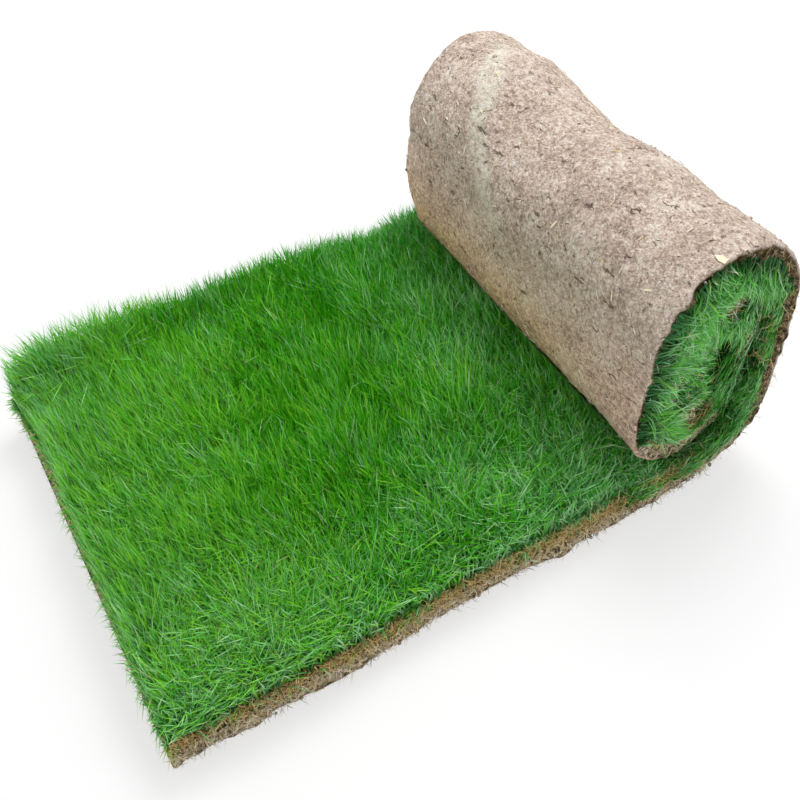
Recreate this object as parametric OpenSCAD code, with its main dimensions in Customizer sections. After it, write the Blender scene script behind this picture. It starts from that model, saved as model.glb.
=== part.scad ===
// A half-unrolled roll of turf: one long strip of grass on its mat of roots and soil.
// The strip lies flat, soil side down, and its other end is rolled up grass side in.
// It was rolled a little askew, so the roll and the free end lie off square to the cut edges.
// X runs along the strip with the roll at +X, Y runs across it, and Z is up.
// The origin is on the ground, under the middle of the strip and roll together.

/* [Strip] */
// Width across the strip, from cut edge to cut edge
strip_w = 400; // [300:5:600]
// Length lying flat, from the free end to the line where the roll begins
flat_l = 510; // [300:5:900]
// Thickness of the mat of roots and soil
soil_t = 20; // [15:0.5:22]
// Height of the grass where it stands freely, up to where the blades thin out
grass_h = 46; // [30:1:60]
// How far the grass hangs out past the cut edges of the soil
overhang = 3; // [1:0.5:12]
// Radius of the grass's upper edge at the free end, where the blades bend over
grass_edge_r = 18; // [5:1:28]

/* [Roll] */
// Angle by which the roll and the free end lie off square to the cut edges, in degrees
skew = 5.5; // [0:0.5:8]
// Outer radius of the roll's rounded bottom and top, over the soil
roll_r = 92; // [90:1:140]
// Straight rise of the roll's sides, which makes it taller than it is wide
side_h = 80; // [20:1:100]
// Thickness of the grass pressed between two turns
packed_h = 21; // [18:0.5:24]
// Room between the pressed grass and the soil of the next turn in
turn_gap = 0.5; // [0.3:0.1:1]
// Half turns in the roll, counted from the ground
half_turns = 4; // [2:1:4]

/* [Hidden] */
$fn = 96;

// Each full turn is one pitch nearer to the middle than the turn before it
pitch = soil_t + packed_h + turn_gap;
// Where the roll begins, so that the whole strip is centred on the origin
roll_x = (flat_l + overhang * (1 + sin(skew)) - roll_r) / 2;
free_end_x = roll_x - flat_l;
// Longer than the strip is in any direction, for what is trimmed to its width
reach = strip_w + flat_l + 4 * roll_r + 2 * side_h;
soil_color = [0.60, 0.53, 0.46];
grass_color = [0.24, 0.46, 0.12];

// Half turns lie right and left in turn, and grow tighter by half a pitch each time
function turn_radius(i) = roll_r - i * pitch / 2;
// Height where a half turn's rounded bottom ends and its straight side begins
function turn_height(i) = roll_r + (i % 2) * pitch / 2;

// Section of a quarter of a ring about the origin, on the side that the signs of X and Z name
module quarter_ring(x_sign, z_sign, r_out, r_in) {
    intersection() {
        difference() {
            circle(r_out);
            if (r_in > 0)
                circle(r_in);
        }
        translate([x_sign > 0 ? 0 : -r_out, z_sign > 0 ? 0 : -r_out])
            square(r_out);
    }
}

// Section of one half turn: a rounded bottom, a straight side and a rounded top
module half_turn(i, r_out, r_in) {
    x_sign = i % 2 == 0 ? 1 : -1;
    r_least = max(r_in, 0);
    translate([roll_x, turn_height(i)]) {
        quarter_ring(x_sign, -1, r_out, r_in);
        translate([x_sign > 0 ? r_least : -r_out, 0])
            square([r_out - r_least, side_h]);
        translate([0, side_h])
            quarter_ring(x_sign, 1, r_out, r_in);
    }
}

// Section of the soil: the flat run, then half turns winding in from it
module soil_section() {
    translate([free_end_x, 0])
        square([flat_l, soil_t]);
    for (i = [0 : half_turns - 1])
        half_turn(i, turn_radius(i), turn_radius(i) - soil_t);
}

// What is cut away at the origin to round an upper right corner that lies there
module corner_waste(r) {
    translate([-r, -r])
    difference() {
        square(2 * r);
        circle(r);
    }
}

// Section of the grass on the flat run, bent over at the free end and pressed down under the roll
module flat_grass_section() {
    difference() {
        translate([free_end_x - overhang, soil_t])
            square([flat_l + overhang, grass_h]);
        translate([free_end_x - overhang, soil_t + grass_h])
        mirror([1, 0])
            corner_waste(grass_edge_r);
        translate([roll_x, turn_height(1)])
            circle(turn_radius(1) + turn_gap);
    }
}

// Section of the whole layer of grass, on the inner side of each half turn of soil
module grass_section() {
    flat_grass_section();
    for (i = [0 : half_turns - 1])
        half_turn(i, turn_radius(i) - soil_t, turn_radius(i) - pitch + turn_gap);
}

// Stretches a section in X and Z along the roll's axis, and trims it straight to the given width
module across(width) {
    intersection() {
        rotate([90, 0, -skew])
        linear_extrude(reach, center = true)
            children();
        cube([reach, width, reach], center = true);
    }
}

// The mat of roots and soil, outermost on the roll and underneath on the flat run
module soil_mat() {
    color(soil_color)
    across(strip_w)
        soil_section();
}

// The layer of grass, as one soft mass with the outer shape of its blades
module grass() {
    color(grass_color)
    across(strip_w + 2 * overhang)
        grass_section();
}

soil_mat();
grass();
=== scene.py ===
import math

import bpy
import numpy as np
from mathutils import Matrix, Vector


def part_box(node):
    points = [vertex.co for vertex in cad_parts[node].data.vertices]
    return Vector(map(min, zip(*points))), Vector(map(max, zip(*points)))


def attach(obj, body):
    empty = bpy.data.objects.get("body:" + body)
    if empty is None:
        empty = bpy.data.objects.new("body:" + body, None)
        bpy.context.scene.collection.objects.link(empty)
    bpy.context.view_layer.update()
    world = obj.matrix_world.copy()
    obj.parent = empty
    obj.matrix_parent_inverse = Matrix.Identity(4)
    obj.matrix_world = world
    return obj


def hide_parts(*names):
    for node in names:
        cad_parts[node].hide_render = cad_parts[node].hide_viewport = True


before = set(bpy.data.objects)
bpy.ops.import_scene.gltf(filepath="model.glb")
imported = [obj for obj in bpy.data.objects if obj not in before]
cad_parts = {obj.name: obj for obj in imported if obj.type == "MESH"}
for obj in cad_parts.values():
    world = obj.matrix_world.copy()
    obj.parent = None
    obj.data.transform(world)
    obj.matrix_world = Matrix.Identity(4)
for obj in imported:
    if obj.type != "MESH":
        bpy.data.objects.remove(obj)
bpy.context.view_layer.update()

# Angle off square, straight rise of the roll's sides, rise from one turn to the next, and half turns,
# as in the part's source
SKEW = math.radians(5.5)
SIDE_H = 0.080
PITCH = 0.0415
HALF_TURNS = 4

# Sizes of the strip and the roll, in metres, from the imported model. Places along the strip are those
# of a square one, until askew() sets them off square
SOIL_LO, SOIL_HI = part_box("soil_mat")
GRASS_LO, GRASS_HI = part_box("grass")
HALF_W = SOIL_HI.y
ROLL_H = SOIL_HI.z
ROLL_R = (ROLL_H - SIDE_H) / 2
SKEW_REACH = HALF_W * math.tan(SKEW)
ROLL_X = (SOIL_HI.x - SKEW_REACH) * math.cos(SKEW) - ROLL_R
FREE_X = (SOIL_LO.x + SKEW_REACH) * math.cos(SKEW)
FLAT_L = ROLL_X - FREE_X
SOIL_T = GRASS_LO.z
TURN_RADII = [ROLL_R - i * PITCH / 2 for i in range(HALF_TURNS)]
TURN_LENGTHS = [math.pi * radius + SIDE_H for radius in TURN_RADII]
OUTER_L = sum(TURN_LENGTHS[:2])
ROLLED_L = sum(TURN_LENGTHS)
# Height and radius of the rounded bottom of the roll, where it presses on the flat run's grass
PRESS_Z = ROLL_R + PITCH / 2
PRESS_R = TURN_RADII[1]

# Grass: lengths of the blades on the flat run and on the roll's ends, their width, and how many there are
GRASS_H = 0.0705
END_BLADE_L = 0.038
BLADE_W = 0.0019
FLAT_BLADES = 104000
FLAT_PIECES = 4
END_BLADES = 15000
# How deep in the mat blades take root, from its outer face
ROOT_DEPTH = SOIL_T - 0.002
# Where the flat run's blades stop under the roll, how far they keep off it, and which way most of them lean
FLAT_END_X = ROLL_X - 0.030
ROLL_GAP = 0.002
FLAT_HEADING = math.radians(140)
# Where across the flat run its frayed front begins, and where it is in full
FRONT = (-0.05, -0.17)
# Shares of what hangs out past an edge that are brought back: at the near edge, the far edge and the free
# end of the flat run, and at the near and the far end of the roll
DRAW_NEAR = 0.6
DRAW_FAR = 0.5
DRAW_FREE = 0.6
DRAW_END_NEAR = 0.62
DRAW_END_FAR = 0.85
# How far in from the roll's ends blades take root, and how far those at the dark hollow sit back:
# the ones between the turns, and the ones on the cut edge
END_BAND = 0.034
HOLLOW_BACK = 0.022
HOLLOW_EDGE_BACK = 0.004

# Patches on the roll's ends, as places from the line where the roll begins, heights and sizes:
# where the soil of the turns shows, and the dark hollow in the middle, whose blades are darkened as painted
# shade
END_BARE = [(0.010, 0.213, 0.017), (0.082, 0.115, 0.024), (0.002, 0.092, 0.022), (-0.052, 0.076, 0.016),
            (-0.036, 0.060, 0.018), (-0.012, 0.050, 0.016)]
END_HOLLOW = [(0.019, 0.143, 0.020)]

# Soil: steps of its mesh, and the radius of its rounded edges
SOIL_STEP = 0.0026
EDGE_ROUND = 0.0035
# How far the free end is cut back over its nearer part, and a little more towards the near corner
FREE_CUT = 0.009
FREE_CUT_NEAR = 0.0025
# Lumps across the top of the roll: place across the strip, spread and height
LUMPS = [(0.115, 0.034, 0.010), (0.012, 0.040, -0.004), (-0.068, 0.026, 0.005), (-0.185, 0.028, 0.002)]
# Larger pale bits on the roll: place along and across the strip, length, width and direction in degrees
CHIPS = [(0.383, -0.204, 0.011, 0.0070, 75), (0.436, -0.175, 0.012, 0.0022, 65),
         (0.446, -0.060, 0.009, 0.0024, 20)]
# How many small things there are of each kind
CRUMBS = 2000
FLAKES = 900
FIBRES = 12000
THATCH = 22000

# How far anything may reach to either side, and its least height over the ground
SIDE_LIMIT = GRASS_HI.y + 0.0215
LEAST_Z = 0.0003
# Direction across the strip
ACROSS = np.array([0.0, 1.0, 0.0])

# Seeds of the random draws
CRUMB_SEED = 21
FLAKE_SEED = 31
FIBRE_SEED = 41
THATCH_SEED = 51
FLAT_SEED = 61
END_SEED = 71

# Camera: angles in degrees, distance in metres, focal length in pixels of an 800 pixel frame
CAMERA_AZIMUTH = -32.91
CAMERA_ELEVATION = 46.33
CAMERA_ROLL = -0.91
CAMERA_DISTANCE = 0.95
CAMERA_TARGET = (0.0079, -0.0231, 0.0606)
FOCAL_PIXELS = 1036.0
FRAME_PIXELS = 800
SENSOR_MM = 36.0

# Light and floor: strengths and colours, and places and sizes in metres
WHITE = (1.0, 1.0, 1.0, 1.0)
AMBIENT = 0.72
KEY_WATTS = 31.0
KEY_SIZE = 1.0
KEY_PLACE = (0.75, 0.55, 2.0)
KEY_TARGET = (0.0, 0.0, 0.1)
FLOOR_COLOUR = (0.9, 0.9, 0.9, 1.0)
FLOOR_GLOW = 0.62
FLOOR_REACH = 6.0
FLOOR_Z = -0.0005


def srgb(red, green, blue):
    """A linear colour, with alpha, from screen values of 0 to 255."""
    def linear(value):
        value /= 255
        return value / 12.92 if value <= 0.04045 else ((value + 0.055) / 1.055) ** 2.4
    return (linear(red), linear(green), linear(blue), 1.0)


def lattice(ix, iy, iz, seed):
    """Repeatable numbers from 0 to 1 for whole-number places."""
    mask = 0xFFFFFFFF
    mixed = (ix * 374761393 + iy * 668265263 + iz * 1103515245 + seed * 974634721) & mask
    mixed = ((mixed ^ (mixed >> 13)) * 1274126177) & mask
    mixed = ((mixed ^ (mixed >> 15)) * 2246822519) & mask
    return ((mixed ^ (mixed >> 16)) & 0xFFFFFF) / 0xFFFFFF


def noise(points, size, seed):
    """Smooth noise from -1 to 1, with features of about the given size."""
    scaled = np.asarray(points) / size
    cell = np.floor(scaled).astype(np.int64)
    part = scaled - cell
    part = part * part * (3 - 2 * part)
    total = np.zeros(len(scaled))
    for corner in np.ndindex(2, 2, 2):
        weight = np.prod(np.where(corner, part, 1 - part), axis=1)
        total += weight * lattice(*(cell + corner).T, seed)
    return 2 * total - 1


def ramp01(value, low, high):
    """Goes smoothly from 0 at low to 1 at high."""
    t = np.clip((value - low) / (high - low), 0, 1)
    return t * t * (3 - 2 * t)


def unit(vectors):
    """Vectors of length 1 in the same directions."""
    return vectors / np.maximum(np.linalg.norm(vectors, axis=-1, keepdims=True), 1e-9)


def at_most(vectors, longest):
    """Vectors brought down to the given length where they are longer."""
    lengths = np.linalg.norm(vectors, axis=1, keepdims=True)
    return vectors * np.minimum(1, longest / np.maximum(lengths, 1e-6))


def strip_frame(along):
    """Place on the soil's outer face, outward direction and direction of travel, for distances
    along the strip. A distance is 0 where the roll begins, and negative on the flat run."""
    along = np.asarray(along, float)
    zero = np.zeros_like(along)
    angle = np.full(along.shape, -math.pi / 2)
    x = ROLL_X + np.minimum(along, 0)
    z = zero.copy()
    start = 0.0
    for i, (radius, length) in enumerate(zip(TURN_RADII, TURN_LENGTHS)):
        went = np.clip(along - start, 0, length)
        straight = np.clip(went - math.pi / 2 * radius, 0, SIDE_H)
        turned = math.pi * (i - 0.5) + (went - straight) / radius
        lift = SIDE_H - straight if i % 2 else straight
        here = along >= start
        angle = np.where(here, turned, angle)
        x = np.where(here, ROLL_X + radius * np.cos(turned), x)
        z = np.where(here, ROLL_R + (i % 2) * PITCH / 2 + lift + radius * np.sin(turned), z)
        start += length
    place = np.stack([x, zero, z], -1)
    outward = np.stack([np.cos(angle), zero, np.sin(angle)], -1)
    travel = np.stack([-np.sin(angle), zero, np.cos(angle)], -1)
    return place, outward, travel


def on_strip(along, across, depth):
    """Points on the strip, with the outward direction and the direction of travel there."""
    place, outward, travel = strip_frame(along)
    points = place - outward * np.broadcast_to(depth, along.shape)[..., None]
    points[..., 1] = across
    return points, outward, travel


def settle(points):
    """The soft strip's own shape: lumps along the roll, and a free end cut back over its near part."""
    x, y, z = points.T
    height = np.clip(z / ROLL_H, 0, 1)
    drop = 0.006 * ramp01(y, -HALF_W, HALF_W) + 0.003 * np.exp(-((y - 0.03) / 0.06) ** 2)
    wave = 0.0035 * noise(np.stack([y * 0, y, z * 0.5], 1), 0.11, 5)
    for middle, spread, rise in LUMPS:
        drop -= rise * np.exp(-((y - middle) / spread) ** 2)
    cut_back = FREE_CUT * ramp01(y, 0.20, 0.11) + FREE_CUT_NEAR * ramp01(y, 0.03, -0.06)
    moved = points.copy()
    moved[:, 2] = z - drop * height ** 2
    moved[:, 0] = x + wave * ramp01(z, 0.05, 0.16) + cut_back * ramp01(x, FREE_X + 0.15, FREE_X)
    return moved


def askew(points):
    """Sets the square strip's ends and roll off square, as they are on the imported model."""
    moved = points.copy()
    moved[:, 0] = points[:, 0] / math.cos(SKEW) + points[:, 1] * math.tan(SKEW)
    return moved


def make_mesh(name, verts, faces, uv=None):
    """A smooth mesh from arrays. faces has one row of corners for each face."""
    corners = faces.shape[1]
    mesh = bpy.data.meshes.new(name)
    mesh.vertices.add(len(verts))
    mesh.vertices.foreach_set("co", np.ascontiguousarray(verts, np.float32).ravel())
    mesh.loops.add(faces.size)
    mesh.loops.foreach_set("vertex_index", np.ascontiguousarray(faces, np.int32).ravel())
    mesh.polygons.add(len(faces))
    mesh.polygons.foreach_set("loop_start", np.arange(0, faces.size, corners, dtype=np.int32))
    mesh.polygons.foreach_set("use_smooth", np.ones(len(faces), bool))
    mesh.update(calc_edges=True)
    if uv is not None:
        for layer_name in ("blade", "OFBake"):
            layer = mesh.uv_layers.new(name=layer_name)
            layer.data.foreach_set("uv", np.ascontiguousarray(uv[faces.ravel()], np.float32).ravel())
        mesh.uv_layers.active = mesh.uv_layers["blade"]
        mesh.uv_layers["blade"].active_render = True
    return mesh


def add_piece(name, verts, faces, material, node, uv=None):
    """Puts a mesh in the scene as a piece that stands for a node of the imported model."""
    verts = askew(settle(verts))
    verts[:, 1] = np.clip(verts[:, 1], -SIDE_LIMIT, SIDE_LIMIT)
    verts[:, 2] = np.maximum(verts[:, 2], LEAST_Z)
    mesh = make_mesh(name, verts, faces, uv)
    piece = bpy.data.objects.new(name, mesh)
    bpy.context.scene.collection.objects.link(piece)
    mesh.materials.append(material)
    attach(piece, "root")
    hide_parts(node)
    return mesh


def ribbons(root, up, lean, length, width, spin, tone, sag=0.0, steps=3):
    """Many tapering blades as one set of vertices, triangles and palette places.

    Each blade starts along up and bends by lean, in lengths of the blade. spin turns its flat
    side, sag pulls its tip down, and tone is its place across the palette."""
    count = len(root)
    t = np.linspace(0, 1, steps + 1)[None, :, None]
    length = np.broadcast_to(length, count)[:, None, None]
    sag = np.broadcast_to(sag, count)[:, None, None]
    swing = (lean ** 2).sum(1)[:, None, None]
    path = up[:, None] * t * (1 - np.minimum(0.42 * swing, 0.8) * t) + lean[:, None] * t ** 2.0
    path[..., 2] -= (sag * t ** 2)[..., 0]
    path = root[:, None] + length * path

    helper = np.where(np.abs(up[:, 2:3]) > 0.9, [[1.0, 0, 0]], [[0, 0, 1.0]])
    side_a = unit(np.cross(up, helper))
    side_b = np.cross(up, side_a)
    side = np.cos(spin)[:, None] * side_a + np.sin(spin)[:, None] * side_b
    taper = np.interp(np.linspace(0, 1, steps + 1)[:-1], [0, 0.35, 1], [0.8, 1.0, 0.45])
    half = np.broadcast_to(width, count)[:, None, None] / 2 * taper[None, :, None] * side[:, None]
    left, right, tip = path[:, :-1] - half, path[:, :-1] + half, path[:, -1:]
    verts = np.concatenate([left, right, tip], 1)
    per = 2 * steps + 1

    k = np.arange(steps - 1)
    low = np.stack([k, k + steps, k + steps + 1], 1)
    high = np.stack([k, k + steps + 1, k + 1], 1)
    last = np.array([[steps - 1, 2 * steps - 1, 2 * steps]])
    pattern = np.concatenate([low, high, last])
    faces = (np.arange(count)[:, None, None] * per + pattern[None]).reshape(-1, 3)

    rise = np.linspace(0, 1, steps + 1)
    v = np.concatenate([rise[:-1], rise[:-1], rise[-1:]])
    u_side = np.concatenate([np.full(steps, -1.0), np.full(steps, 1.0), [0.0]]) * 0.006
    u = np.clip(tone, 0.01, 0.99)[:, None] + u_side[None]
    uv = np.stack([u, np.broadcast_to(v * 0.98 + 0.01, u.shape)], -1)
    return verts.reshape(-1, 3), faces, uv.reshape(-1, 2)


class Nodes:
    """A short way to build a material's nodes."""

    def __init__(self, name):
        self.material = bpy.data.materials.new(name)
        self.material.use_nodes = True
        self.tree = self.material.node_tree
        self.shader = self.tree.nodes["Principled BSDF"]

    def add(self, kind, **settings):
        """A new node of a kind, with the given settings."""
        made = self.tree.nodes.new("ShaderNode" + kind)
        for key, value in settings.items():
            setattr(made, key, value)
        return made

    def put(self, socket, value):
        """Links an output to a socket, or sets a plain value on it."""
        if hasattr(value, "links"):
            self.tree.links.new(value, socket)
        else:
            socket.default_value = value

    def surface(self, colour, roughness, shine):
        """Sets the look of the material's shader."""
        self.put(self.shader.inputs["Base Color"], colour)
        self.put(self.shader.inputs["Roughness"], roughness)
        self.put(self.shader.inputs["Specular IOR Level"], shine)

    def noise(self, coords, scale, detail=4.0, rough=0.6):
        """Cloudy noise from 0 to 1."""
        made = self.add("TexNoise")
        self.put(made.inputs["Scale"], scale)
        self.put(made.inputs["Detail"], detail)
        self.put(made.inputs["Roughness"], rough)
        self.put(made.inputs["Vector"], coords)
        return made.outputs["Fac"]

    def cells(self, coords, scale, feature="F1"):
        """Distance within a pattern of cells, from their middles or their edges."""
        made = self.add("TexVoronoi", feature=feature)
        self.put(made.inputs["Scale"], scale)
        self.put(made.inputs["Vector"], coords)
        return made.outputs["Distance"]

    def warp(self, coords, scale, amount):
        """Coordinates pushed about by noise, with bends of the given scale."""
        bends = self.add("TexNoise")
        self.put(bends.inputs["Scale"], scale)
        self.put(bends.inputs["Detail"], 3.0)
        self.put(bends.inputs["Vector"], coords)
        made = self.add("Mix", data_type="VECTOR")
        self.put(made.inputs[0], amount)
        self.put(made.inputs[4], coords)
        self.put(made.inputs[5], bends.outputs["Color"])
        return made.outputs[1]

    def ramp(self, factor, stops):
        """A colour ramp from (place, colour) stops."""
        made = self.add("ValToRGB")
        elements = made.color_ramp.elements
        while len(elements) < len(stops):
            elements.new(0.5)
        for element, (place, colour) in zip(elements, stops):
            element.position = place
            element.color = colour
        self.put(made.inputs["Fac"], factor)
        return made.outputs["Color"]

    def fade(self, value, low, high):
        """Goes from 0 at low to 1 at high."""
        made = self.add("MapRange", clamp=True, interpolation_type="SMOOTHSTEP")
        self.put(made.inputs["From Min"], low)
        self.put(made.inputs["From Max"], high)
        self.put(made.inputs["Value"], value)
        return made.outputs["Result"]

    def mix(self, factor, first, second, blend="MIX"):
        """One colour laid over another by a factor."""
        made = self.add("Mix", data_type="RGBA", blend_type=blend, clamp_factor=True)
        self.put(made.inputs[0], factor)
        self.put(made.inputs[6], first)
        self.put(made.inputs[7], second)
        return made.outputs[2]

    def math(self, operation, first, second):
        """A sum of two values, of the named kind."""
        made = self.add("Math", operation=operation)
        self.put(made.inputs[0], first)
        self.put(made.inputs[1], second)
        return made.outputs[0]

    def times(self, first, second):
        """The product of two values."""
        return self.math("MULTIPLY", first, second)

    def bump(self, height, strength, distance, normal=None):
        """A normal roughened by a height, over another normal if one is given."""
        made = self.add("Bump")
        self.put(made.inputs["Strength"], strength)
        self.put(made.inputs["Distance"], distance)
        self.put(made.inputs["Height"], height)
        if normal is not None:
            self.put(made.inputs["Normal"], normal)
        return made.outputs["Normal"]


def palette_material(name, roots, tips, roughness, shine):
    """A blade material: its colour runs across a palette, and from the root to the tip."""
    n = Nodes(name)
    parts = n.add("SeparateXYZ")
    n.put(parts.inputs[0], n.add("UVMap", uv_map="blade").outputs["UV"])
    rise = n.fade(parts.outputs["Y"], 0.15, 0.95)
    colour = n.mix(rise, n.ramp(parts.outputs["X"], roots), n.ramp(parts.outputs["X"], tips))
    n.surface(colour, roughness, shine)
    return n.material


def grass_material():
    """Greens from dark to yellowish, then cool pale greens, and dry blades last."""
    # The roots' greens are far darker than the tips': painted shade at the foot of the grass
    roots = [(0.0, srgb(14, 66, 4)), (0.35, srgb(26, 100, 6)), (0.60, srgb(60, 126, 14)),
             (0.76, srgb(24, 98, 36)), (0.90, srgb(58, 126, 70)), (1.0, srgb(168, 156, 84))]
    tips = [(0.0, srgb(62, 172, 16)), (0.35, srgb(98, 214, 28)), (0.60, srgb(168, 238, 66)),
            (0.76, srgb(106, 208, 96)), (0.90, srgb(190, 242, 182)), (1.0, srgb(222, 214, 138))]
    return palette_material("grass_blade", roots, tips, 0.46, 0.34)


def straw_material():
    """Dead straw, from ochre to nearly white."""
    roots = [(0.0, srgb(172, 134, 76)), (0.4, srgb(214, 182, 120)), (0.75, srgb(234, 218, 176)),
             (1.0, srgb(244, 240, 226))]
    tips = [(0.0, srgb(196, 160, 100)), (0.4, srgb(234, 208, 148)), (0.75, srgb(246, 236, 202)),
            (1.0, srgb(252, 250, 240))]
    return palette_material("straw", roots, tips, 0.7, 0.25)


def fibre_material():
    """Fine roots, from brown to nearly white."""
    roots = [(0.0, srgb(92, 78, 54)), (0.4, srgb(176, 158, 122)), (1.0, srgb(236, 228, 208))]
    tips = [(0.0, srgb(120, 104, 76)), (0.4, srgb(202, 186, 150)), (1.0, srgb(246, 240, 224))]
    return palette_material("root_fibre", roots, tips, 0.8, 0.2)


def soil_grains(n, coords, clods, grain):
    """The soil's colours: clods, grains and specks of its own, and dark gaps that are painted shade in its
    pits.
    """
    base = n.ramp(clods, [(0.30, srgb(177, 166, 159)), (0.50, srgb(195, 184, 178)),
                          (0.72, srgb(213, 204, 199))])
    tone = n.ramp(grain.outputs["Color"], [(0.2, srgb(148, 138, 130)), (0.5, srgb(188, 182, 175)),
                                           (0.8, srgb(234, 227, 218))])
    base = n.mix(0.55, base, tone, "OVERLAY")
    specks = n.noise(coords, 200.0, 5.0, 0.7)
    mottle = n.ramp(specks, [(0.34, srgb(132, 120, 110)), (0.5, srgb(190, 183, 176)),
                             (0.66, srgb(238, 232, 224))])
    base = n.mix(0.6, base, mottle, "OVERLAY")
    # Painted shade: small dark gaps, as in the soil's pits
    gaps = n.fade(n.noise(coords, 230.0, 3.0, 0.65), 0.61, 0.70)
    return n.mix(n.times(gaps, 0.55), base, srgb(112, 92, 78))


def pale_band(n, coords, across, along):
    """Where the pale band shows, which runs aslant over the roll from the top towards the near end."""
    slant = n.math("ADD", across, n.times(n.math("SUBTRACT", along, 0.377), 0.89))
    slant = n.math("ADD", slant, n.times(n.math("SUBTRACT", n.noise(coords, 22.0), 0.5), 0.05))
    band = n.times(n.fade(slant, 0.103, 0.119), n.fade(slant, 0.151, 0.135))
    band = n.times(band, n.times(n.fade(along, 0.33, 0.36), n.fade(along, 0.54, 0.46)))
    return n.times(band, n.fade(n.noise(coords, 150.0, 4.0, 0.7), 0.34, 0.60))


def warmed(n, base, clods, places, along):
    """The soil's colours low down, where the roll faces the flat run: brightened and warmed as painted
    light against the shade and the green light that the grass throws up there, and further along tinted
    yellowish.
    """
    # Painted light: low down the base is brightened and warmed against the shade there
    warm = n.times(n.fade(places.outputs["Z"], 0.24, 0.10), n.fade(along, 0.33, 0.44))
    base = n.mix(warm, base, (0.22, 0.075, 0.035, 1.0), "DODGE")
    low = n.times(n.fade(places.outputs["Z"], 0.155, 0.085), n.fade(places.outputs["Y"], -0.18, -0.02))
    low = n.times(low, n.times(n.fade(clods, 0.30, 0.55), n.fade(along, 0.42, 0.50)))
    return n.mix(low, base, srgb(255, 246, 214), "MULTIPLY")


def soil_cracks(n, coords):
    """Short cracks about the clods, and longer splits along the roll, where the soil was bent."""
    bent = n.warp(coords, 34.0, 0.018)
    crack_place = n.fade(n.noise(coords, 95.0, 3.0, 0.6), 0.61, 0.67)
    cracks = n.times(n.fade(n.cells(bent, 85.0, "DISTANCE_TO_EDGE"), 0.055, 0.020), crack_place)
    drawn = n.add("Mapping")
    n.put(drawn.inputs["Vector"], n.warp(coords, 60.0, 0.010))
    n.put(drawn.inputs["Scale"], (1.0, 0.22, 1.0))
    splits = n.fade(n.noise(drawn.outputs[0], 210.0, 2.0, 0.5), 0.645, 0.690)
    splits = n.times(splits, n.fade(n.noise(coords, 40.0), 0.46, 0.56))
    return n.math("MAXIMUM", cracks, splits)


def cut_faces(n, coords, base, along):
    """The soil's colours with its cut edges, which are darker on the roll as painted shade, and its hidden
    inner face, which is dark green on the roll as painted shade.
    """
    edge = n.add("Attribute", attribute_name="edge").outputs["Fac"]
    strands = n.noise(coords, 210.0, 4.0, 0.75)
    cut = n.ramp(strands, [(0.40, srgb(66, 56, 38)), (0.47, srgb(138, 120, 88)),
                           (0.54, srgb(196, 180, 148)), (0.64, srgb(240, 232, 212))])
    # Darker ramp for the cut edges on the roll: painted shade
    cut_in_painted_shade = n.ramp(strands, [(0.42, srgb(46, 40, 24)), (0.52, srgb(98, 82, 52)),
                             (0.62, srgb(150, 132, 96)), (0.72, srgb(206, 192, 162))])
    rolled = n.times(n.fade(along, 0.02, 0.10), n.fade(along, 0.62, 0.56))
    base = n.mix(edge, base, n.mix(rolled, cut, cut_in_painted_shade))
    under = n.add("Attribute", attribute_name="under").outputs["Fac"]
    # The inner face is olive on the flat run and dark green on the roll, where the dark green is painted
    # shade between the turns
    inside = n.mix(n.fade(along, 0.30, 0.40), srgb(92, 84, 42), srgb(26, 58, 22))
    return n.mix(under, base, inside)


def soil_material():
    """Dry crumbly soil: grains with dark gaps, a pale band, cracks, pale chips and cut edges full of roots.
    The gaps, the cracks and the cut edges on the roll are darkened as painted shade.
    """
    n = Nodes("soil")
    coords = n.add("TexCoord").outputs["Object"]
    places = n.add("SeparateXYZ")
    n.put(places.inputs[0], coords)
    along = n.add("Attribute", attribute_name="along").outputs["Fac"]
    clods = n.noise(coords, 26.0, 5.0, 0.6)
    grain = n.add("TexVoronoi")
    n.put(grain.inputs["Scale"], 600.0)
    n.put(grain.inputs["Vector"], n.warp(coords, 260.0, 0.0025))

    base = soil_grains(n, coords, clods, grain)
    band = pale_band(n, coords, places.outputs["Y"], along)
    base = n.mix(n.times(band, 0.75), base, srgb(228, 226, 210))
    base = warmed(n, base, clods, places, along)
    cracks = soil_cracks(n, coords)
    # Painted shade: the cracks are darkened, as shade inside them
    base = n.mix(n.times(cracks, 0.75), base, srgb(88, 68, 56))
    chips = n.times(n.fade(n.cells(coords, 130.0), 0.15, 0.08), n.fade(clods, 0.44, 0.56))
    base = n.mix(n.times(chips, 0.8), base, srgb(238, 228, 212))
    n.surface(cut_faces(n, coords, base, along), 0.95, 0.15)

    relief = n.math("SUBTRACT", n.noise(coords, 150.0, 5.0, 0.68), n.times(cracks, 0.6))
    normal = n.bump(relief, 0.8, 0.003)
    normal = n.bump(n.noise(coords, 340.0, 3.0, 0.65), 0.8, 0.0022, normal)
    grains = n.math("SUBTRACT", 1.0, grain.outputs["Distance"])
    n.put(n.shader.inputs["Normal"], n.bump(grains, 0.6, 0.0010, normal))
    return n.material


def section_loop():
    """Places round the soil's section: across the strip, share of the depth, and the face they are on,
    which is 0 for the outer one, 1 for the cut edges and 2 for the inner one."""
    rim = HALF_W - EDGE_ROUND
    middle = np.linspace(-rim, rim, 2 * round(rim / SOIL_STEP) + 1)
    bend = np.array([0.4, 0.75, 1.0])
    outer = np.concatenate([-rim - EDGE_ROUND * bend[::-1], middle, rim + EDGE_ROUND * bend])
    side = np.linspace(0, 1, 10)[1:-1]
    inner = np.linspace(HALF_W, -HALF_W, 12)
    across = np.concatenate([outer, np.full(len(side), HALF_W), inner, np.full(len(side), -HALF_W)])
    share = np.concatenate([np.zeros(len(outer)), side, np.ones(len(inner)), side[::-1]])
    face = np.concatenate([np.zeros(len(outer)), np.ones(len(side)), np.full(len(inner), 2.0),
                           np.ones(len(side))])
    return across, share, face


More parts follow.
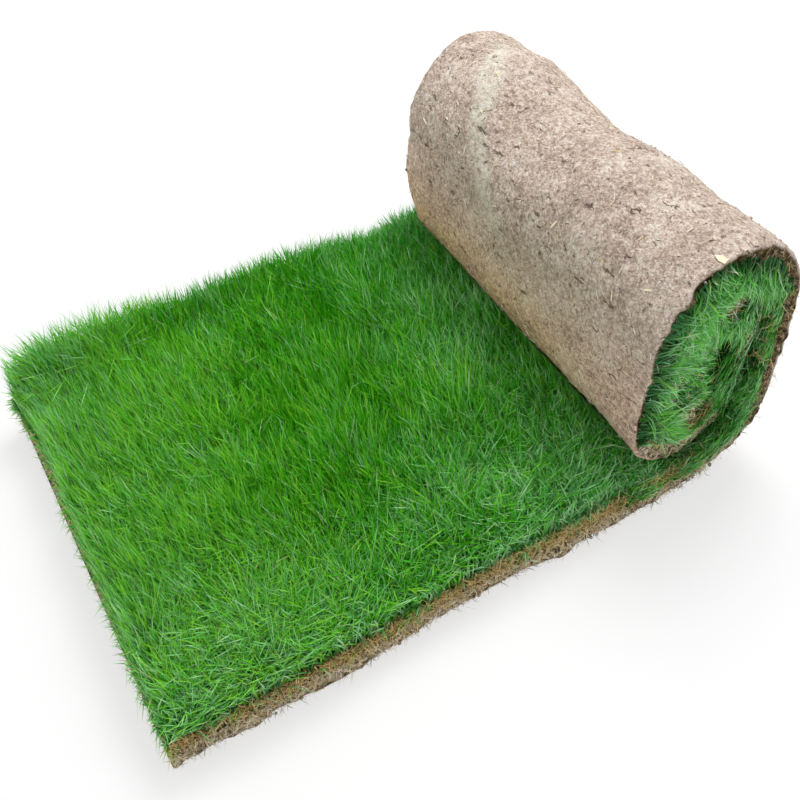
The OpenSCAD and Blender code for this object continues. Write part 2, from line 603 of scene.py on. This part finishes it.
def end_fan(ring):
    """Triangles that close a ring of corners from its first one."""
    return np.stack([np.full(len(ring) - 2, ring[0]), ring[1:-1], ring[2:]], 1)


def face_relief(points):
    """Height of the lumps on the soil's outer face."""
    lumps = 0.0018 * noise(points, 0.070, 11) + 0.0009 * noise(points, 0.021, 12)
    return lumps + 0.0007 * noise(points, 0.0090, 13) + 0.0006 * noise(points, 0.0055, 14)


def edge_wave(along, side):
    """How far the cut edge on a side stands out, for distances along the strip."""
    places = np.stack([along, np.zeros_like(along), np.broadcast_to(side, along.shape)], 1)
    near = 0.006 * ramp01(along, -0.30, -0.05) - 0.005 * ramp01(along, -0.40, -FLAT_L)
    near += 0.004 * np.exp(-((along + 0.35) / 0.05) ** 2)
    near += (0.007 * ramp01(along, -0.21, -0.13) * ramp01(along, 0.26, 0.14)
             - 0.003 * ramp01(along, 0.25, 0.32))
    # The far end is rounded off high and low on its left
    far = -0.012 * ramp01(along, 0.37, 0.42) * ramp01(along, 0.54, 0.49)
    far -= 0.003 * ramp01(along, 0.49, 0.54)
    far -= 0.022 * ramp01(along, 0.535, 0.585) * ramp01(along, 0.72, 0.66)
    return 0.004 * noise(places, 0.075, 18) + np.where(side < 0, near, far)


def edge_shift(along, across):
    """How far places across the strip move with its wandering edges."""
    side = np.sign(across)
    return side * ramp01(np.abs(across), HALF_W - 0.06, HALF_W) * edge_wave(along, side)


def soil_strip(material):
    """The mat of soil as one closed tube of sections along the strip, broken up by lumps and pits."""
    across, share, face = section_loop()
    loops = len(across)
    along = np.concatenate([
        np.linspace(-FLAT_L, 0, 105)[:-1],
        np.linspace(0, OUTER_L, round(OUTER_L / SOIL_STEP))[:-1],
        np.linspace(OUTER_L, ROLLED_L, 80),
    ])
    # The two ends close over in rings that narrow towards the middle of the mat
    closing = np.array([0.30, 0.65, 0.9])
    squeeze = np.concatenate([closing, np.ones(len(along)), closing[::-1]])
    along = np.concatenate([along[0] - np.array([0.003, 0.0025, 0.0012]), along, np.full(3, along[-1])])

    rows = len(along)
    y = np.tile(across, rows)
    a = np.repeat(along, loops)
    on = np.tile(face, rows)
    round_r = EDGE_ROUND * (1 + 0.6 * noise(np.stack([a, y * 0, np.sign(y)], 1), 0.026, 3))
    past_rim = np.clip((np.abs(y) - (HALF_W - EDGE_ROUND)) / EDGE_ROUND, 0, 1)
    dip = round_r * (1 - np.sqrt(1 - np.minimum(past_rim, 0.999) ** 2))
    depth = np.where(on == 0, dip, round_r + np.tile(share, rows) * (SOIL_T - round_r))
    depth = SOIL_T / 2 + (depth - SOIL_T / 2) * np.repeat(squeeze, loops)

    points, outward, _ = on_strip(a, y, depth)
    on_outer = (on == 0) * (1 - past_rim)
    on_edge = np.where(on == 1, 1.0, past_rim * (on == 0))
    broken = 0.0026 * noise(points, 0.034, 15) + 0.0022 * noise(points, 0.010, 16)
    broken += 0.0010 * noise(points, 0.005, 17)
    pits = ramp01(noise(points, 0.0075, 19), 0.62, 0.85)
    points += outward * (on_outer * (face_relief(points) - 0.0014 * pits))[:, None]
    points[:, 1] += np.sign(y) * on_edge * broken + edge_shift(a, y)

    i, j = np.meshgrid(np.arange(rows - 1), np.arange(loops), indexing="ij")
    nxt = (j + 1) % loops
    quads = np.stack([i * loops + j, (i + 1) * loops + j, (i + 1) * loops + nxt, i * loops + nxt], -1)
    quads = quads.reshape(-1, 4)
    ring = np.arange(loops)
    faces = np.concatenate([quads[:, [0, 1, 2]], quads[:, [0, 2, 3]],
                            end_fan(ring), end_fan(ring[::-1] + (rows - 1) * loops)])
    mesh = add_piece("soil_strip", points, faces, material, "soil_mat")
    ends = np.repeat(squeeze < 1, loops)
    marks = {"edge": (on == 1) | (past_rim > 0.9) | ends, "under": (on == 2) & ~ends, "along": a}
    for name, values in marks.items():
        layer = mesh.attributes.new(name, "FLOAT", "POINT")
        layer.data.foreach_set("value", values.astype(np.float32))


def face_places(rng, count):
    """Random places on the roll's outer face of soil."""
    along = rng.uniform(-0.02, OUTER_L, count)
    across = rng.uniform(-HALF_W + 0.003, HALF_W - 0.003, count)
    points, outward, travel = on_strip(along, across, 0.0)
    points += outward * face_relief(points)[:, None]
    points[:, 1] += edge_shift(along, points[:, 1])
    return points, outward, travel


def edge_places(rng, count, low, high):
    """Random places on the two long cut edges and the free end, from low to high in the mat, with the
    way the edge faces and the outward direction."""
    flat = rng.random(count) < 0.7
    along = np.where(flat, rng.uniform(-FLAT_L, 0.03, count), rng.uniform(0, ROLLED_L, count))
    side = rng.choice([-1.0, 1.0], count)
    share = rng.uniform(low, high, count)
    points, outward, _ = on_strip(along, side * (HALF_W + edge_wave(along, side)), SOIL_T * share)
    facing = np.zeros((count, 3))
    facing[:, 1] = side
    at_end = rng.random(count) < 0.16
    points[at_end, 0] = FREE_X - 0.001
    points[at_end, 1] = rng.uniform(-HALF_W, HALF_W, at_end.sum())
    points[at_end, 2] = SOIL_T * share[at_end]
    facing[at_end] = (-1.0, 0.0, 0.0)
    return points, facing, outward


def soil_crumbs(material):
    """Small loose clods that stick to the roll and to the cut edges."""
    rng = np.random.default_rng(CRUMB_SEED)
    face_count = int(CRUMBS * 0.4)
    on_face = face_places(rng, face_count)[0]
    on_edges = edge_places(rng, CRUMBS - face_count, 0.05, 0.8)[0]
    centre = np.concatenate([on_face, on_edges])
    # Each starts from the corners and faces of an icosahedron
    golden = (1 + 5 ** 0.5) / 2
    base = unit(np.array([(-1, golden, 0), (1, golden, 0), (-1, -golden, 0), (1, -golden, 0),
                          (0, -1, golden), (0, 1, golden), (0, -1, -golden), (0, 1, -golden),
                          (golden, 0, -1), (golden, 0, 1), (-golden, 0, -1), (-golden, 0, 1)]))
    order = np.array([(0, 11, 5), (0, 5, 1), (0, 1, 7), (0, 7, 10), (0, 10, 11), (1, 5, 9), (5, 11, 4),
                      (11, 10, 2), (10, 7, 6), (7, 1, 8), (3, 9, 4), (3, 4, 2), (3, 2, 6), (3, 6, 8),
                      (3, 8, 9), (4, 9, 5), (2, 4, 11), (6, 2, 10), (8, 6, 7), (9, 8, 1)])
    size = 0.0005 + 0.0015 * rng.random(CRUMBS) ** 3
    stretch = rng.uniform(0.65, 1.35, (CRUMBS, 1, 3))
    rough = rng.uniform(0.75, 1.25, (CRUMBS, len(base), 1))
    turn = np.linalg.qr(rng.normal(size=(CRUMBS, 3, 3)))[0]
    verts = np.einsum("nij,nkj->nki", turn, base[None] * stretch * rough)
    verts = verts * size[:, None, None] + centre[:, None]
    faces = (np.arange(CRUMBS)[:, None, None] * len(base) + order[None]).reshape(-1, 3)
    add_piece("soil_crumbs", verts.reshape(-1, 3), faces, material, "soil_mat")


def straw_flakes(material):
    """Short pale bits of straw that lie on the roll's soil."""
    rng = np.random.default_rng(FLAKE_SEED)
    points, outward, travel = face_places(rng, FLAKES)
    angle = rng.uniform(0, 2 * math.pi, FLAKES)
    lie = np.cos(angle)[:, None] * travel + np.sin(angle)[:, None] * ACROSS
    lean = outward * rng.uniform(-0.05, 0.22, (FLAKES, 1))
    length = 0.002 + 0.008 * rng.random(FLAKES) ** 2.5
    width = rng.uniform(0.0005, 0.0013, FLAKES)
    tone = 0.45 + 0.55 * rng.beta(2.4, 1.4, FLAKES)
    spin = rng.uniform(0, math.pi, FLAKES)
    # The first few are the larger bits, lying flat
    for i, (along, across, long, wide, degrees) in enumerate(CHIPS):
        here, facing, ahead = on_strip(np.array([along]), np.array([across]), 0.0)
        points[i] = here[0] + facing[0] * (face_relief(here)[0] + 0.001)
        turn = math.radians(degrees)
        lie[i] = math.cos(turn) * ahead[0] + math.sin(turn) * ACROSS
        flat_side = np.cross(facing[0], lie[i])
        side_a = unit(np.cross(lie[i], [0, 0, 1.0]))
        spin[i] = math.atan2(flat_side @ np.cross(lie[i], side_a), flat_side @ side_a)
        lean[i] = 0.05 * facing[0]
        length[i], width[i], tone[i] = long, wide, 0.82
    verts, faces, uv = ribbons(points + outward * 0.0007, lie, lean, length, width, spin, tone, steps=2)
    add_piece("straw_flakes", verts, faces, material, "soil_mat", uv)


def root_fibres(material):
    """Fine roots: some lie on the roll's soil, and more hang out of the cut edges."""
    rng = np.random.default_rng(FIBRE_SEED)
    lying = FIBRES // 9
    hanging = FIBRES - lying
    points_a, outward_a, travel_a = face_places(rng, lying)
    angle = rng.uniform(0, 2 * math.pi, lying)
    up_a = np.cos(angle)[:, None] * travel_a + np.sin(angle)[:, None] * ACROSS
    lean_a = outward_a * rng.uniform(-0.1, 0.25, (lying, 1))
    points_b, facing_b, outward_b = edge_places(rng, hanging, 0.10, 1.15)
    up_b = unit(facing_b * rng.uniform(0.0, 0.6, (hanging, 1)) + rng.normal(0, 0.6, (hanging, 3))
                - 0.3 * outward_b)
    lean_b = rng.normal(0, 0.45, (hanging, 3)) - 0.3 * facing_b
    verts, faces, uv = ribbons(
        np.concatenate([points_a + outward_a * 0.0006, points_b]), np.concatenate([up_a, up_b]),
        np.concatenate([lean_a, lean_b]), rng.uniform(0.004, 0.010, FIBRES),
        rng.uniform(0.0003, 0.0008, FIBRES), rng.uniform(0, math.pi, FIBRES), rng.random(FIBRES),
        sag=np.concatenate([np.zeros(lying), rng.uniform(0.0, 0.3, hanging)]), steps=2)
    add_piece("root_fibres", verts, faces, material, "soil_mat", uv)


def spots(points, places):
    """How well points on the roll's end lie in any of the listed patches, from 0 to 1."""
    within = np.zeros(len(points))
    for x, z, size in places:
        away = np.hypot(points[:, 0] - ROLL_X - x, points[:, 2] - z)
        within = np.maximum(within, ramp01(away, 1.3 * size, 0.6 * size))
    return within


def thatch(material):
    """Dead straw at the foot of the grass, seen along the cut edges and the free end."""
    rng = np.random.default_rng(THATCH_SEED)
    points, facing, outward = edge_places(rng, THATCH, 0.65, 1.6)
    points -= facing * rng.uniform(-0.002, 0.004, (THATCH, 1))
    points -= 0.025 * facing * spots(points, END_HOLLOW)[:, None]
    up = unit(facing * rng.uniform(-0.2, 0.4, (THATCH, 1)) + rng.normal(0, 0.6, (THATCH, 3))
              - 0.4 * outward)
    lean = rng.normal(0, 0.4, (THATCH, 3)) - 0.3 * facing
    length = 0.004 + 0.010 * rng.random(THATCH) ** 1.6
    # Ochre at the foot of the grass, and paler towards the soil
    high = ramp01(points[:, 2], 0.8 * SOIL_T, 1.3 * SOIL_T)
    tone = rng.beta(1.9, 1.4, THATCH) * (1 - 0.42 * high) + 0.12 * (1 - high)
    verts, faces, uv = ribbons(points, up, lean, length, rng.uniform(0.0005, 0.0011, THATCH),
                               rng.uniform(0, math.pi, THATCH), tone,
                               sag=rng.uniform(0.0, 0.3, THATCH), steps=2)
    add_piece("thatch", verts, faces, material, "grass", uv)


def press_out_of_roll(verts):
    """Pushes what would reach into the roll back to just outside it."""
    offset = verts[:, [0, 2]] - [ROLL_X, PRESS_Z]
    reach = np.linalg.norm(offset, axis=1)
    least = PRESS_R + ROLL_GAP
    inside = (reach < least) & (np.abs(verts[:, 1]) < HALF_W + 0.004)
    scale = np.where(inside, least / np.maximum(reach, 1e-6), 1.0)
    verts[:, [0, 2]] = [ROLL_X, PRESS_Z] + offset * scale[:, None]
    return verts


def draw_in(verts):
    """Brings back most of what hangs out past the cut edges."""
    past = np.sign(verts[:, 1]) * np.maximum(np.abs(verts[:, 1]) - HALF_W, 0)
    verts[:, 1] -= np.where(past < 0, DRAW_NEAR, DRAW_FAR) * past
    verts[:, 0] += DRAW_FREE * np.maximum(FREE_X - verts[:, 0], 0)
    return verts


def flat_roots(rng):
    """Places where the flat run's blades take root, with some more of them along the far edge."""
    count = FLAT_BLADES
    x = rng.uniform(FREE_X - 0.003, FLAT_END_X, count)
    y = rng.uniform(-1, 1, count)
    y *= np.where(y < 0, HALF_W - 0.003 + edge_wave(x - ROLL_X, -1.0), HALF_W)
    at_far = rng.random(count) < 0.04
    y = np.where(at_far, rng.uniform(HALF_W - 0.014, HALF_W + 0.003, count), y)
    return np.stack([x, y, np.full(count, ROOT_DEPTH)], 1)


def to_edges(x, y):
    """How near places on the flat run are to its free end, near edge and far edge, from 0 to 1."""
    to_left = ramp01(x, FREE_X + 0.022, FREE_X)
    to_near = ramp01(y, -HALF_W + 0.022, -HALF_W)
    to_far = ramp01(y, HALF_W - 0.03, HALF_W)
    return to_left, to_near, to_far


def flat_lean(rng, root, tuft):
    """How the flat run's blades lean, and how far those that hang over an edge sag."""
    count = len(root)
    x, y, _ = root.T
    to_left, to_near, to_far = to_edges(x, y)
    swirl = noise(root, 0.045, 64)
    frayed = np.maximum(ramp01(y, -0.05, -0.16), 0.7 * ramp01(x, ROLL_X - 0.25, ROLL_X - 0.12))
    messy = np.minimum(0.5 * ramp01(noise(root, 0.07, 66), 0.0, 0.6) + 0.7 * frayed, 1)
    heading = FLAT_HEADING + (0.8 + 0.7 * messy) * swirl + rng.normal(0, 0.7 + 0.7 * messy, count)
    amount = np.abs(0.15 + 0.10 * tuft + 0.25 * messy + rng.normal(0, 0.15, count))
    lean = np.stack([np.cos(heading) * amount, np.sin(heading) * amount, np.zeros(count)], 1)
    wild = rng.random(count) < 0.05 + 0.32 * messy + 0.18 * ramp01(y, *FRONT)
    lean[wild, :2] = rng.normal(0, 0.55, (count, 2))[wild]
    lean = at_most(lean, 0.8)
    # Blades at the cut edges stand up or lean in, so that the cut soil shows
    lean[:, 0] = np.where(lean[:, 0] < 0, lean[:, 0] * (1 - 0.5 * to_left), lean[:, 0])
    lean[:, 1] = np.where(lean[:, 1] < 0, lean[:, 1] * (1 - 0.75 * to_near), lean[:, 1])
    lean[:, 1] = np.where(lean[:, 1] > 0, lean[:, 1] * (1 - 0.25 * to_far), lean[:, 1])
    lean[:, 1] -= to_near * rng.uniform(-0.05, 0.22, count)
    # Some at the near edge and the free end hang down over it
    drape = 0.05 + 0.30 * ramp01(noise(root, 0.04, 68), 0.0, 0.5)
    drape += 0.30 * ramp01(x, ROLL_X - 0.22, ROLL_X - 0.06)
    hang = (to_near > 0.6) & (rng.random(count) < drape)
    lean[:, 1] = np.where(hang, -rng.uniform(0.3, 0.7, count), lean[:, 1])
    fold = (to_left > 0.5) & (rng.random(count) < 0.35)
    lean[:, 0] = np.where(fold, -rng.uniform(0.2, 0.6, count), lean[:, 0])
    return lean, np.where(hang | fold, rng.uniform(0.3, 0.8, count), 0.0)


def flat_length(rng, root, tuft, swell):
    """Lengths of the flat run's blades: shorter at the front, most of all next to the roll, and taller
    along most of the far edge."""
    x, y, _ = root.T
    to_left, to_near, to_far = to_edges(x, y)
    spread = rng.uniform(0.56, 1.12, len(root)) ** 0.7
    spread += 0.8 * to_far * (np.clip(spread, 0.86, 1.0) - spread)
    length = GRASS_H * (0.90 + 0.12 * swell + 0.10 * tuft) * spread
    far_rise = 0.20 * swell + 0.24 - 0.35 * ramp01(x, -0.05, 0.15)
    length *= 1 - 0.15 * to_near - 0.08 * to_left + to_far * far_rise
    by_roll = 0.30 * ramp01(x, ROLL_X - 0.12, ROLL_X - 0.06) * ramp01(y, -0.13, -0.17)
    length *= 1 - 0.12 * ramp01(y, *FRONT) - by_roll
    return length


def flat_tone(rng, root, tuft, swell):
    """Places of the flat run's blades in the palette: yellower towards the free end and darker next to the
    roll as painted shade, with cool pale blades, partly painted highlights, mixed in at the edges, towards
    the front and towards the roll, and a few dry ones."""
    count = len(root)
    x, y, _ = root.T
    to_left, to_near, to_far = to_edges(x, y)
    drift = noise(root, 0.12, 65)
    tone = 0.26 + 0.17 * drift + 0.10 * swell + 0.12 * tuft + rng.normal(0, 0.24, count)
    tone -= 0.08 * ramp01(y, 0.04, 0.18)
    # Towards the free end the blades are yellower; next to the roll they are darker, as painted shade from
    # the roll
    tone += 0.62 * ramp01(x, FREE_X + 0.26, FREE_X) - 0.15 * ramp01(x, ROLL_X - 0.14, ROLL_X - 0.07)
    # The pale cool blades are partly a paler blue-green of the grass and partly painted highlights
    cool = 0.30 * ramp01(x, ROLL_X - 0.26, ROLL_X - 0.08) + 0.25 * ramp01(y, -0.05, -0.18)
    cool += 0.22 * ramp01(x, FREE_X + 0.20, FREE_X)
    cool += 0.24 * ramp01(noise(root, 0.035, 67), 0.05, 0.5)
    edge_cool = np.maximum.reduce([to_near, to_left, 0.6 * to_far])
    pale = rng.random(count) < 0.08 + 0.20 * edge_cool + cool
    tone = np.where(pale, rng.uniform(0.74, 0.92, count), np.clip(tone, 0.02, 0.66))
    dry = rng.random(count) < 0.006
    return np.where(dry, rng.uniform(0.95, 0.99, count), tone)


def flat_grass(material):
    """The grass of the flat run, in pieces that lie side by side along the strip."""
    rng = np.random.default_rng(FLAT_SEED)
    root = flat_roots(rng)
    count = len(root)
    tuft = noise(root, 0.015, 62)
    swell = noise(root, 0.050, 63)
    lean, sag = flat_lean(rng, root, tuft)
    length = flat_length(rng, root, tuft, swell)
    width = BLADE_W * rng.uniform(0.65, 1.35, count)
    tone = flat_tone(rng, root, tuft, swell)
    up = unit(np.stack([rng.normal(0, 0.10, count), rng.normal(0, 0.10, count), np.ones(count)], 1))
    spin = rng.uniform(0, math.pi, count)
    from_free_end = np.argsort(root[:, 0], kind="stable")
    for number, part in enumerate(np.array_split(from_free_end, FLAT_PIECES), 1):
        verts, faces, uv = ribbons(root[part], up[part], lean[part], length[part], width[part], spin[part],
                                   tone[part], sag[part])
        verts = draw_in(press_out_of_roll(verts))
        add_piece(f"grass_flat_{number}", verts, faces, material, "grass", uv)


def edge_rooted(rng, along):
    """Which blades of a roll's end take root on the cut edge of the soil and hide it, on the roll's left
    and top and further in, and the least share of the soil's depth where they do."""
    count = len(along)
    place, outward, _ = strip_frame(along)
    left = (outward[:, 0] < -0.15) & (outward[:, 2] > -0.35) & (along < OUTER_L)
    left &= rng.random(count) < 0.55
    inner = (along > OUTER_L) & (rng.random(count) < 0.5)
    inner &= (outward[:, 2] > -0.5) & ((outward[:, 0] < 0.1) | (rng.random(count) < 0.8))
    top = (outward[:, 2] > 0.3) & (along < OUTER_L) & (rng.random(count) < 0.35)
    shallow = np.where(top & ~left, 0.05 + 0.40 * ramp01(outward[:, 0], -0.3, 0.3), 0.05)
    return (left | inner | top) & (spots(place, END_BARE) < 0.3), shallow


def end_grass(material):
    """Grass that swells out of the roll's two ends, from between its turns."""
    for side, name in ((-1.0, "grass_end_near"), (1.0, "grass_end_far")):
        rng = np.random.default_rng(END_SEED + int(side))
        count = END_BLADES if side < 0 else END_BLADES // 2
        along = rng.uniform(-0.07, ROLLED_L, count)
        on_edge, shallow = edge_rooted(rng, along)
        inset = np.where(on_edge, -0.001 if side < 0 else 0.005, END_BAND * rng.random(count) ** 1.3)
        depth = np.where(on_edge, SOIL_T * (shallow + (1 - shallow) * rng.random(count)), ROOT_DEPTH)
        edge = HALF_W + edge_wave(along, side)
        root, outward, travel = on_strip(along, side * (edge - inset), depth)
        out = np.zeros((count, 3))
        out[:, 1] = side
        patch = noise(root, 0.030, 72)
        swirl = 0.6 * noise(root, 0.040, 73)[:, None] + rng.normal(0.10, 0.45, (count, 1))
        lean = out * rng.uniform(-0.1, 0.55, (count, 1)) + travel * swirl
        lean = at_most(lean, 0.9)
        up = unit(-outward * rng.uniform(0.6, 1.0, (count, 1)) + out * rng.uniform(0.05, 0.6, (count, 1))
                  + rng.normal(0, 0.16, (count, 3)))
        bare = ramp01(noise(root, 0.045, 74), 0.10, 0.40)
        length = END_BLADE_L * (1 + 0.2 * patch) * rng.uniform(0.5, 1.15, count) * (1 - 0.5 * bare)
        length = np.where((along > OUTER_L) | (along < 0.06), 0.8 * length, length)
        middle = root + 0.5 * length[:, None] * (up + 0.25 * lean)
        length *= 1 - 0.65 * spots(middle, END_BARE)
        hollow = spots(middle, END_HOLLOW)
        root[:, 1] -= side * np.where(on_edge, HOLLOW_EDGE_BACK, HOLLOW_BACK) * hollow
        # At the hollow the blades get darker and fewer pale colours: painted shade
        tone = 0.18 + 0.20 * patch + rng.normal(0, 0.16, count) - 0.3 * hollow
        # The pale cool blades are partly a paler blue-green of the grass and partly painted highlights
        pale = rng.random(count) < 0.66 - 0.40 * hollow
        tone = np.where(pale, rng.uniform(0.72, 0.92, count), np.clip(tone, 0.02, 0.66))
        verts, faces, uv = ribbons(root, up, lean, length, BLADE_W * rng.uniform(0.45, 1.0, count),
                                   rng.uniform(0, math.pi, count), tone, sag=rng.uniform(0.0, 0.2, count))
        # Most of what reaches out past the cut edge is brought back
        past = side * np.maximum(side * verts[:, 1] - np.repeat(edge, len(verts) // count) - 0.002, 0)
        verts[:, 1] -= (DRAW_END_NEAR if side < 0 else DRAW_END_FAR) * past
        add_piece(name, verts, faces, material, "grass", uv)


def make_floor():
    """A wide pale floor that takes the part's soft shadow."""
    corners = FLOOR_REACH * np.array([(-1, -1, 0), (1, -1, 0), (1, 1, 0), (-1, 1, 0)])
    corners[:, 2] = FLOOR_Z
    mesh = make_mesh("floor", corners, np.array([[0, 1, 2, 3]]))
    floor = bpy.data.objects.new("floor", mesh)
    bpy.context.scene.collection.objects.link(floor)
    n = Nodes("floor")
    n.put(n.shader.inputs["Base Color"], FLOOR_COLOUR)
    n.put(n.shader.inputs["Roughness"], 0.9)
    glow = n.add("Emission")
    n.put(glow.inputs["Strength"], 1.0)
    seen = n.add("LightPath").outputs["Is Camera Ray"]
    blend = n.add("MixShader")
    n.put(blend.inputs[0], n.times(seen, FLOOR_GLOW))
    n.put(blend.inputs[1], n.shader.outputs[0])
    n.put(blend.inputs[2], glow.outputs[0])
    n.put(n.tree.nodes["Material Output"].inputs["Surface"], blend.outputs[0])
    mesh.materials.append(n.material)


def make_light():
    """Even light from a white studio, and one large soft lamp high up behind the roll."""
    scene = bpy.context.scene
    scene.view_settings.view_transform = "Standard"
    world = bpy.data.worlds.new("studio")
    world.use_nodes = True
    scene.world = world
    tree = world.node_tree
    ambient = tree.nodes["Background"]
    ambient.inputs["Color"].default_value = WHITE
    ambient.inputs["Strength"].default_value = AMBIENT
    backdrop = tree.nodes.new("ShaderNodeBackground")
    backdrop.inputs["Color"].default_value = WHITE
    path = tree.nodes.new("ShaderNodeLightPath")
    blend = tree.nodes.new("ShaderNodeMixShader")
    tree.links.new(path.outputs["Is Camera Ray"], blend.inputs[0])
    tree.links.new(ambient.outputs[0], blend.inputs[1])
    tree.links.new(backdrop.outputs[0], blend.inputs[2])
    tree.links.new(blend.outputs[0], tree.nodes["World Output"].inputs["Surface"])

    key = bpy.data.lights.new("key", "AREA")
    key.shape = "SQUARE"
    key.size = KEY_SIZE
    key.energy = KEY_WATTS
    lamp = bpy.data.objects.new("key", key)
    lamp.location = KEY_PLACE
    aim = Vector(KEY_TARGET) - lamp.location
    lamp.rotation_euler = aim.to_track_quat("-Z", "Y").to_euler()
    scene.collection.objects.link(lamp)


def make_camera():
    """The camera that was fitted to the photo."""
    azimuth, elevation, roll = (math.radians(a) for a in (CAMERA_AZIMUTH, CAMERA_ELEVATION, CAMERA_ROLL))
    back = Vector((math.sin(azimuth) * math.cos(elevation), -math.cos(azimuth) * math.cos(elevation),
                   math.sin(elevation)))
    right = Vector((0, 0, 1)).cross(back).normalized()
    up = back.cross(right)
    rolled_right = math.cos(roll) * right + math.sin(roll) * up
    rolled_up = math.cos(roll) * up - math.sin(roll) * right
    data = bpy.data.cameras.new("camera")
    data.sensor_width = SENSOR_MM
    data.lens = SENSOR_MM * FOCAL_PIXELS / FRAME_PIXELS
    camera = bpy.data.objects.new("camera", data)
    turn = Matrix((rolled_right, rolled_up, back)).transposed().to_4x4()
    camera.matrix_world = Matrix.Translation(Vector(CAMERA_TARGET) + back * CAMERA_DISTANCE) @ turn
    bpy.context.scene.collection.objects.link(camera)
    bpy.context.scene.camera = camera


make_camera()
make_light()
make_floor()
soil = soil_material()
straw = straw_material()
green = grass_material()
soil_strip(soil)
soil_crumbs(soil)
straw_flakes(straw)
root_fibres(fibre_material())
thatch(straw)
flat_grass(green)
end_grass(green)
